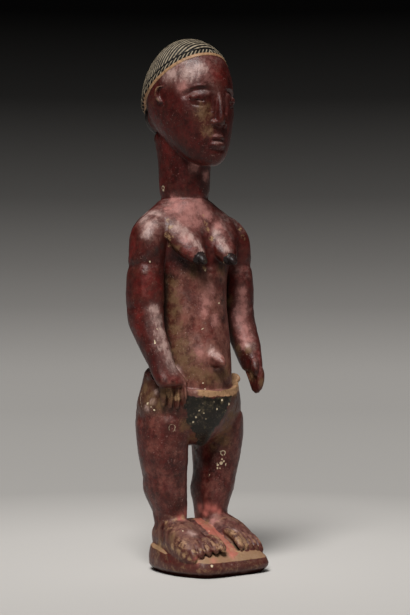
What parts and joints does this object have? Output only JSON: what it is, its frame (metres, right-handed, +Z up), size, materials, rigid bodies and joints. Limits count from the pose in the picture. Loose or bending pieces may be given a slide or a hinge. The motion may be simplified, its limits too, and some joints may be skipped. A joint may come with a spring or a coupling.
{
  "type": "carved standing female figure",
  "caption": "Standing carved wooden female figure on its own low base, one hand on the hip and the other free, for display on a shelf or table.",
  "frame": {"origin": "on the ground, under the middle of the whole carving", "axes": "+Z up along the figure's height, -Y the way the figure faces, +X towards the figure's own left hand"},
  "size_m": [0.1276, 0.1152, 0.4602],
  "materials": {
    "painted_wood": "old dark red paint, waxy and half glossy, worn to bare tan wood on its edges, with black, pink and grey areas"
  },
  "bodies": {
    "root": {"figure": "painted_wood"}
  },
  "joints": []
}
